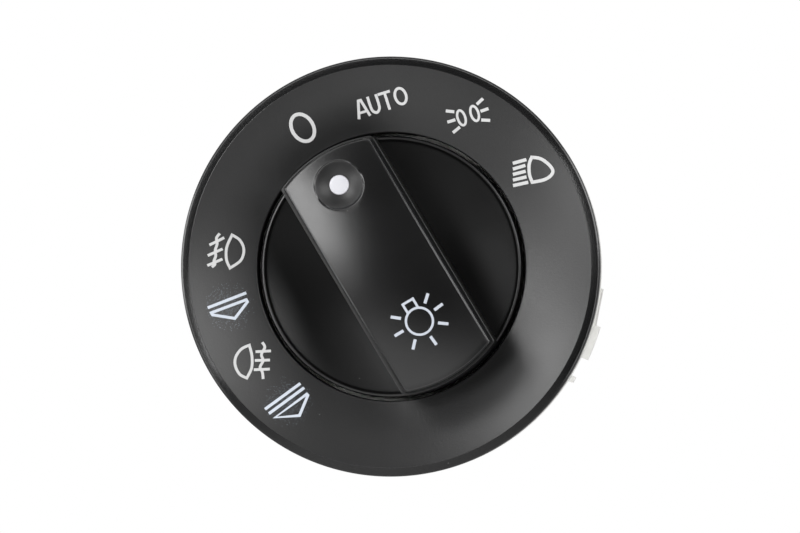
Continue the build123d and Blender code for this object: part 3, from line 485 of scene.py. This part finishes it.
# Knob: a round dish with a thin raised lip, and the core of the grip bar across it. It is one
# black moulding with a fine grain, pushed onto the square stem.
KNOB_R, LIP_HEIGHT, LIP_ROUND = 22.4, 0.9, 0.45
RIM_IN_R, BOWL_DEPTH, LIP_DROP = 21.4, 5.5, 0.5
BOWL_R = (RIM_IN_R**2 + (BOWL_DEPTH - LIP_DROP) ** 2) / (2 * (BOWL_DEPTH - LIP_DROP))
BOWL_FLOOR = LIP_HEIGHT - BOWL_DEPTH
SKIRT_END, SKIRT_IN_R = -7.0, 20.8
UNDERSIDE = ((SKIRT_IN_R, -1.4), (7.6, -5.8), (0, -6.4))
CORE_HALF_W, CORE_END_R, CORE_CORNER = 9.1, KNOB_R - 0.02, 0.6
CORE_FOOT, CORE_TOP, CORE_ROUND = -4.0, 10.4, 0.12
REST_ANGLE = 120.7
BAR_TURN = np.array([[cos(radians(REST_ANGLE)), sin(radians(REST_ANGLE))],
                     [-sin(radians(REST_ANGLE)), cos(radians(REST_ANGLE))]])


def knob_top(radius):
    """Height of the knob's dish: a ball's inside, then the lip's inner slope and its rounded top."""
    radius = np.asarray(radius, float)
    bowl = BOWL_FLOOR + BOWL_R - np.sqrt(np.maximum(BOWL_R**2 - radius**2, 0))
    width = KNOB_R - LIP_ROUND - RIM_IN_R
    share = np.clip((radius - RIM_IN_R) / width, 0, 1)
    slope = RIM_IN_R / sqrt(BOWL_R**2 - RIM_IN_R**2) * width
    rise = share**2 * (3 - 2 * share)
    lip = LIP_HEIGHT - LIP_DROP * (1 - rise) + slope * share * (1 - share) ** 2
    outer = np.clip(radius - (KNOB_R - LIP_ROUND), 0, LIP_ROUND)
    edge = LIP_HEIGHT - LIP_ROUND + np.sqrt(np.maximum(LIP_ROUND**2 - outer**2, 0))
    return np.where(radius < RIM_IN_R, bowl, np.where(radius < KNOB_R - LIP_ROUND, lip, edge))


def turn_to_rest(grid):
    """Turns points drawn with the bar along x to the bar's place at rest."""
    grid = np.array(grid, float)
    grid[..., :2] = grid[..., :2] @ BAR_TURN
    return grid


def level(plan, heights):
    """Points of a plan with their heights."""
    return np.column_stack([plan, np.broadcast_to(heights, len(plan))])


def bar_plan(half_width, end_r, corner, side_steps=60, corner_steps=14, end_steps=44):
    """Plan of the grip bar: straight sides, ends on a circle about the axis, and rounded corners."""
    corner_x = sqrt((end_r - corner) ** 2 - (half_width - corner) ** 2)
    lean = np.degrees(np.arctan2(half_width - corner, corner_x))
    end = arc((0, 0), (end_r, end_r), -lean, lean, end_steps)
    upper = arc((corner_x, half_width - corner), (corner, corner), lean, 90, corner_steps)
    side_x = np.linspace(corner_x, -corner_x, side_steps)
    side = np.stack([side_x, np.full(side_steps, half_width)], axis=-1)
    half = np.concatenate([end, upper[1:], side[1:]])
    return np.concatenate([half, -half])


knob_r = np.concatenate([np.linspace(0.0, RIM_IN_R, 70), np.linspace(RIM_IN_R, KNOB_R - LIP_ROUND, 14)[1:]])
lip_edge = arc((KNOB_R - LIP_ROUND, LIP_HEIGHT - LIP_ROUND), (LIP_ROUND, LIP_ROUND), 84, 0, 12)
knob_section = np.concatenate([
    np.stack([knob_r, knob_top(knob_r)], axis=-1),
    lip_edge,
    [(KNOB_R, SKIRT_END), (SKIRT_IN_R, SKIRT_END), *UNDERSIDE],
])
core_plan = bar_plan(CORE_HALF_W, CORE_END_R, CORE_CORNER)
core_rows = [level(0 * core_plan, CORE_FOOT), level(core_plan, CORE_FOOT)]
for height in np.linspace(CORE_FOOT + 1, CORE_TOP - CORE_ROUND, 12):
    core_rows.append(level(core_plan, height))
for lean in np.radians(np.linspace(15, 90, 6)):
    inset = CORE_ROUND * (1 - cos(lean))
    rounded = bar_plan(CORE_HALF_W - inset, CORE_END_R - inset, CORE_CORNER - inset)
    core_rows.append(level(rounded, CORE_TOP - CORE_ROUND * (1 - sin(lean))))
core_rows.append(level(0 * core_plan, CORE_TOP))
knob = piece("knob_dish", [(turned(knob_section), False), (turn_to_rest(np.stack(core_rows)), False)])
knob.data.materials.append(black_plastic("knob_grain", 0.002, 0.33, 8e-6))
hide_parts("knob_body")
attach(knob, "knob")


# Grip cap: a satin black cap on the bar's core, crowned more across than along, with soft edges, a
# rebate at its foot and a round dimple for the pointer. Its grid runs out from the dimple's middle.
CAP_HALF_W, CAP_END_R, CAP_CORNER = 8.6, 22.05, 0.5
CAP_TOP, CAP_FOOT, CAP_REBATE = 14.4, 10.4, 0.3
CROWN_ALONG_R, CROWN_ACROSS_R = 110.0, 55.0
CAP_EDGE, CAP_LEAN, CAP_SIDE_TOP = 0.5, 0.026, 11.4
DIMPLE_X, DIMPLE_R, DIMPLE_DEPTH, DIMPLE_EDGE = 16.0, 4.15, 1.6, 0.28
LENS_R, LENS_GAP, LENS_SEAT_DEPTH = 1.7, 0.05, 1.2


def crown(points):
    """Height of the cap's top: it falls as the squares of the ways along and across the bar."""
    return CAP_TOP - points[..., 0] ** 2 / (2 * CROWN_ALONG_R) - points[..., 1] ** 2 / (2 * CROWN_ACROSS_R)


def cap_plan(inset):
    """Plan of the cap, drawn in by the inset."""
    return bar_plan(CAP_HALF_W - inset, CAP_END_R - inset, CAP_CORNER)


dimple = np.array([DIMPLE_X, 0.0])
dimple_floor = float(crown(dimple)) - DIMPLE_DEPTH
ball_r = (DIMPLE_R**2 + DIMPLE_DEPTH**2) / (2 * DIMPLE_DEPTH)
seat_r, edge_in_r, edge_out_r = LENS_R + LENS_GAP, DIMPLE_R - DIMPLE_EDGE, DIMPLE_R + DIMPLE_EDGE
top_inset = (CAP_TOP - CAP_FOOT) * CAP_LEAN
top_edge = cap_plan(top_inset + CAP_EDGE)
spokes = top_edge - dimple
spokes /= np.linalg.norm(spokes, axis=1, keepdims=True)

# The dimple: its middle, the lens's seat, the ball's inside, and a smooth edge (a cubic) up to the crown.
cap_rows = [level(dimple + 0 * spokes, dimple_floor - LENS_SEAT_DEPTH),
            level(dimple + spokes * seat_r, dimple_floor - LENS_SEAT_DEPTH)]
for radius in np.linspace(seat_r, edge_in_r, 16):
    cap_rows.append(level(dimple + spokes * radius, dimple_floor + ball_r - sqrt(ball_r**2 - radius**2)))
inside, outside = cap_rows[-1][0, 2], crown(dimple + spokes * edge_out_r)
rise_inside = edge_in_r / sqrt(ball_r**2 - edge_in_r**2) * 2 * DIMPLE_EDGE
for share in np.linspace(0, 1, 9)[1:]:
    stays = 2 * share**3 - 3 * share**2 + 1
    heights = stays * inside + (share**3 - 2 * share**2 + share) * rise_inside + (1 - stays) * outside
    cap_rows.append(level(dimple + spokes * (edge_in_r + 2 * DIMPLE_EDGE * share), heights))

# The crown, the rounded edge, the leaning side and the rebate.
dimple_edge = dimple + spokes * edge_out_r
for share in np.linspace(0, 1, 40)[1:]:
    plan = dimple_edge + (top_edge - dimple_edge) * share
    cap_rows.append(level(plan, crown(plan)))
for lean in np.radians(np.linspace(12, 90, 8)):
    plan = cap_plan(top_inset + CAP_EDGE * (1 - sin(lean)))
    cap_rows.append(level(plan, crown(top_edge) - CAP_EDGE * (1 - cos(lean))))
for height in np.linspace(CAP_SIDE_TOP, CAP_FOOT + CAP_REBATE, 3):
    cap_rows.append(level(cap_plan((height - CAP_FOOT) * CAP_LEAN), height))
rebate = cap_plan(CAP_REBATE)
cap_rows += [level(rebate, CAP_FOOT + CAP_REBATE), level(rebate, CAP_FOOT), level(0 * rebate, CAP_FOOT)]
cap = piece("grip_cap_shell", [(turn_to_rest(np.stack(cap_rows)), False)], crease=30.0)
dimple_place = in_frame(turn_to_rest([DIMPLE_X, 0.0, dimple_floor + DIMPLE_DEPTH / 2])).tolist()
cap.data.materials.append(
    black_plastic("cap_satin", 0.003, 0.25, 7e-6, dust=0.03, worn=(dimple_place, DIMPLE_R / 1000)))
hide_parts("grip_cap")
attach(cap, "knob")

# The lamp sign on the bar: a ring with a cap on the pointer's side, and seven rays.
SIGN_X = -11.1
RAY_RADII, RAY_ANGLES = np.array([3.17, 4.95]), (51, 90, 136, 185, 234, 276, 312)
sign_strokes = [
    (oval((0, 0), (2.3, 2.3)), 0.4),
    (line((2.12, -1.0), (3.86, -1.0), (3.86, 1.0), (2.12, 1.0)), 0.42),
]
for ray in np.radians(RAY_ANGLES):
    sign_strokes.append((line(*np.outer(RAY_RADII, (cos(ray), sin(ray)))), 0.52))


def on_cap(points):
    """Height of the cap's top at points of the switch's plan."""
    return crown(points @ BAR_TURN.T)


sign = marks("lamp_sign", sign_strokes, np.array([SIGN_X, 0.0]) @ BAR_TURN, REST_ANGLE, on_cap,
             print_ink("sign_ink", (0.46, 0.49, 0.545)))
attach(sign, "knob")


# Pointer: a milky lens in the dimple, lit from the light pipe below it. Its front is a low
# dome with a softly rounded edge.
LENS_ROUND, LENS_PROUD, LENS_BULGE = 0.25, 0.45, 0.03
LENS_FLANGE = ((LENS_R, 10.8), (2.5, 10.8), (2.5, 10.0), (0, 10.0))
dome_r = LENS_R - LENS_ROUND
out_of_dome = np.sin(np.radians([0, 20, 40, 60, 75, 90]))
lens_r = np.concatenate([np.linspace(0, dome_r, 12), dome_r + LENS_ROUND * out_of_dome[1:]])
lens_heights = dimple_floor + LENS_PROUD - LENS_BULGE * np.minimum(lens_r, dome_r) ** 2
lens_heights[-len(out_of_dome):] -= LENS_ROUND * (1 - np.sqrt(np.maximum(1 - out_of_dome**2, 0)))
lens_section = np.concatenate([np.stack([lens_r, lens_heights], axis=-1), LENS_FLANGE])
lens_grid = turned(lens_section, 96)
lens_grid[..., 0] += DIMPLE_X
pointer = piece("pointer_lens", [(turn_to_rest(lens_grid), False)])
milky = Finish("milky_lens")
cloud = milky.noise(700, 2.0)
pointer.data.materials.append(milky.shade(
    Base_Color=milky.blend(cloud, (0.5, 0.5, 0.53, 1), (0.56, 0.56, 0.59, 1)),
    Roughness=0.3 + 0.1 * cloud,
))
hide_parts("index_lens")
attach(pointer, "knob")


# Mechanism and boards inside, and the rear cover with its connector: the CAD pieces, each in
# the finish of its material.
def metal(name, colour, roughness, streaks):
    """Drawn or rolled metal with fine streaks along one direction."""
    finish = Finish(name)
    stretched = finish.node("ShaderNodeMapping", {}, {"Vector": finish.place(), "Scale": streaks})
    lines = finish.node("ShaderNodeTexNoise", {}, {"Vector": stretched, "Scale": 1.0, "Detail": 3.0})
    low = tuple(value * 0.82 for value in colour)
    return finish.shade(
        Base_Color=finish.blend(lines, (*low, 1), (*colour, 1)),
        Metallic=1.0,
        Roughness=roughness + 0.2 * (lines - 0.5),
        Normal=finish.relief(lines, 2e-6),
    )


def clear_plastic(name):
    """Clear moulded plastic with faint flow marks."""
    finish = Finish(name)
    flow = finish.noise(220, 3.0)
    return finish.shade(
        Base_Color=finish.blend(flow, (0.84, 0.87, 0.88, 1), (0.92, 0.94, 0.94, 1)),
        Roughness=0.12 + 0.1 * flow,
        Transmission_Weight=0.85,
        IOR=1.49,
    )


def board_coat(name):
    """Green coated board with a faint weave under the coat."""
    finish = Finish(name)
    weave = finish.noise(2400, 1.0)
    return finish.shade(
        Base_Color=finish.blend(weave, (0.02, 0.14, 0.06, 1), (0.035, 0.2, 0.09, 1)),
        Roughness=0.35 + 0.1 * weave,
        Normal=finish.relief(weave, 4e-6),
    )


dress(black_plastic("cover_grain", 0.016, 0.5, 1.0e-5), "rear_cover")
dress(black_plastic("stem_grain", 0.02, 0.45, 6e-6), "knob_stem")
dress(pale_plastic("mechanism_moulding", (0.5, 0.5, 0.48), 0.4), "rotor", "pull_carriage")
dress(pale_plastic("lamp_moulding", (0.8, 0.76, 0.5), 0.35), "leds")
dress(black_plastic("chip_coat", 0.02, 0.4, 3e-6), "resistors")
dress(clear_plastic("clear_moulding"), "light_guide", "light_pipe")
dress(board_coat("board_coat"), "lamp_board", "circuit_board", "contact_plate")
dress(metal("tinned_pin", (0.72, 0.71, 0.69), 0.3, (3000, 200, 3000)), "link_pins", "terminal_pins")
dress(metal("track_metal", (0.8, 0.56, 0.36), 0.35, (2500, 2500, 2500)), "contact_tracks", "pull_contacts")
dress(metal("sprung_contact", (0.82, 0.65, 0.38), 0.3, (600, 3000, 3000)), "rotary_wipers", "pull_wipers")
spring_steel = metal("spring_steel", (0.62, 0.62, 0.63), 0.3, (400, 3000, 3000))
dress(spring_steel, "detent_rollers", "detent_spring", "step_spring", "release_spring", "stem_clip")


# Latch springs: bowed leaves of spring steel, each loose between a latch and its wall. They are
# made here, where their CAD nodes stand, and drawn bowed; they do not flatten here, though a real leaf
# flattens as its latch slides in.
LEAF_ENDS_U, LEAF_FRONT_U, LEAF_T, LEAF_EDGE = 25.8, 28.0, 0.3, 0.06
LEAF_MIDDLE_V, LEAF_HALF_V = -2.15, 5.75
LEAF_HEIGHTS = (-9.6, -7.8)
LATCH_ANGLES = {"right": -22.0, "left": 158.0}


def leaf_grid(angle):
    """Grid of a bowed leaf: an arc through its two ends and its front, thickened to both sides, with
    bevelled edges. The way out from the axis (u) and across (v) are then turned to the latch's angle."""
    rise = LEAF_FRONT_U - LEAF_ENDS_U
    bow_r = (LEAF_HALF_V**2 + rise**2) / (2 * rise)
    swing = np.linspace(-1, 1, 41) * np.arcsin(LEAF_HALF_V / bow_r)
    low, high = LEAF_HEIGHTS
    thick, edge = LEAF_T / 2, LEAF_EDGE
    ring = np.array([(thick, low + edge), (thick, high - edge), (thick - edge, high), (edge - thick, high),
                     (-thick, high - edge), (-thick, low + edge), (edge - thick, low), (thick - edge, low)])
    radius = bow_r + ring[None, :, 0]
    u = LEAF_FRONT_U - bow_r + radius * np.cos(swing)[:, None]
    v = LEAF_MIDDLE_V + radius * np.sin(swing)[:, None]
    c, s = cos(radians(angle)), sin(radians(angle))
    return np.stack([u * c - v * s, u * s + v * c, np.broadcast_to(ring[:, 1], u.shape)], axis=-1)


for side, angle in LATCH_ANGLES.items():
    leaf = piece(f"latch_leaf_{side}", [(leaf_grid(angle), False)])
    leaf.data.materials.append(spring_steel)
    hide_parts(f"latch_spring_{side}")
    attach(leaf, "housing_body")
    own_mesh(leaf)


# Studio: a pale floor well below the switch, soft lamps at the left that throw the bar's shadow,
# others at the right, below and behind, and a pale room that shows as white behind the switch.
FLOOR_HEIGHT, FLOOR_HALF = -1.0, 1.5
floor_mesh = bpy.data.meshes.new("floor")
floor_corners = [
    (x * FLOOR_HALF, y * FLOOR_HALF, FLOOR_HEIGHT) for x, y in ((-1, -1), (1, -1), (1, 1), (-1, 1))
]
floor_mesh.from_pydata(floor_corners, [], [(0, 1, 2, 3)])
floor = bpy.data.objects.new("floor", floor_mesh)
scene.collection.objects.link(floor)
paper = Finish("floor_paper")
fibres = paper.noise(60, 3.0)
floor_mesh.materials.append(paper.shade(
    Base_Color=paper.blend(fibres, (0.78, 0.78, 0.78, 1), (0.82, 0.82, 0.82, 1)),
    Roughness=0.8,
))

LAMP_DISTANCE = 1.2
LAMPS = {
    # name: direction in the picture (degrees from the right), tilt from the front, angular width, watts
    "upper_left": (145, 44, 24, 6.9),
    "left": (172, 30, 20, 1.6),
    "near_left": (163, 24, 14, 2.6),
    "low_left": (197, 56, 26, 4.6),
    "right": (24, 45, 30, 6.8),
    "below": (262, 31, 36, 2.7),
    "low_right": (315, 32, 24, 0.8),
    "side_right": (20, 102, 30, 4.4),
    "side_left": (175, 102, 30, 4.4),
}
for lamp_name, (bearing, tilt, width, power) in LAMPS.items():
    lamp_data = bpy.data.lights.new(lamp_name, "AREA")
    lamp_data.size = 2 * LAMP_DISTANCE * sin(radians(width / 2))
    lamp_data.energy = power
    lamp = bpy.data.objects.new(lamp_name, lamp_data)
    scene.collection.objects.link(lamp)
    out = sin(radians(tilt))
    toward = Vector((out * cos(radians(bearing)), -cos(radians(tilt)), out * sin(radians(bearing))))
    lamp.location = toward * LAMP_DISTANCE
    lamp.rotation_mode = "QUATERNION"
    lamp.rotation_quaternion = toward.to_track_quat("Z", "Y")

# The room. What glossy pieces mirror goes by how far a direction turns from the camera's side (0) past the
# sides (0.5) to straight behind (1): dark round the camera, a pale band, a dark gap, a bright band just
# before the sides, and dim behind. The camera itself sees plain white.
ROOM_STRENGTH, TENT_STRENGTH = 0.2, 4.0
WHITE = (1, 1, 1, 1)
TENT = (
    (0.0, 0.0), (0.08, 0.0), (0.13, 0.25), (0.2, 0.25), (0.25, 0.0125), (0.38, 0.005),
    (0.43, 1.0), (0.49, 1.0), (0.54, 0.1),
)
world = bpy.data.worlds.new("room")
scene.world = world
world.use_nodes = True
room_tree = world.node_tree
room_tree.nodes.clear()


def room_node(kind, settings=None, sockets=None):
    """Adds a node to the room, with its settings and its sockets' values or links."""
    made = room_tree.nodes.new(kind)
    for key, value in (settings or {}).items():
        setattr(made, key, value)
    for key, value in (sockets or {}).items():
        if isinstance(value, bpy.types.NodeSocket):
            room_tree.links.new(value, made.inputs[key])
        else:
            made.inputs[key].default_value = value
    return made


def background(colour, strength):
    """A plain light from every side."""
    return room_node("ShaderNodeBackground", {}, {"Color": colour, "Strength": strength}).outputs[0]


ray = room_node("ShaderNodeLightPath").outputs
direction = room_node("ShaderNodeTexCoord").outputs["Generated"]
along_y = room_node("ShaderNodeSeparateXYZ", {}, {0: direction}).outputs["Y"]
turned_away = room_node("ShaderNodeMapRange", {}, {
    "Value": along_y, "From Min": -1.0, "From Max": 1.0
}).outputs[0]
tent_ramp = room_node("ShaderNodeValToRGB", {}, {0: turned_away})
stops = tent_ramp.color_ramp.elements
while len(stops) < len(TENT):
    stops.new(1.0)
for stop, (place, brightness) in zip(stops, TENT):
    stop.position = place
    stop.color = (brightness, brightness, brightness, 1.0)
mirrored = room_node("ShaderNodeMath", {"operation": "MAXIMUM"}, {
    0: ray["Is Glossy Ray"], 1: ray["Is Transmission Ray"]
}).outputs[0]
lit = room_node("ShaderNodeMixShader", {}, {
    0: mirrored, 1: background(WHITE, ROOM_STRENGTH), 2: background(tent_ramp.outputs[0], TENT_STRENGTH)
}).outputs[0]
room_node("ShaderNodeOutputWorld", {}, {
    "Surface": room_node("ShaderNodeMixShader", {}, {
        0: ray["Is Camera Ray"], 1: lit, 2: background(WHITE, 1.0)
    }).outputs[0]
})
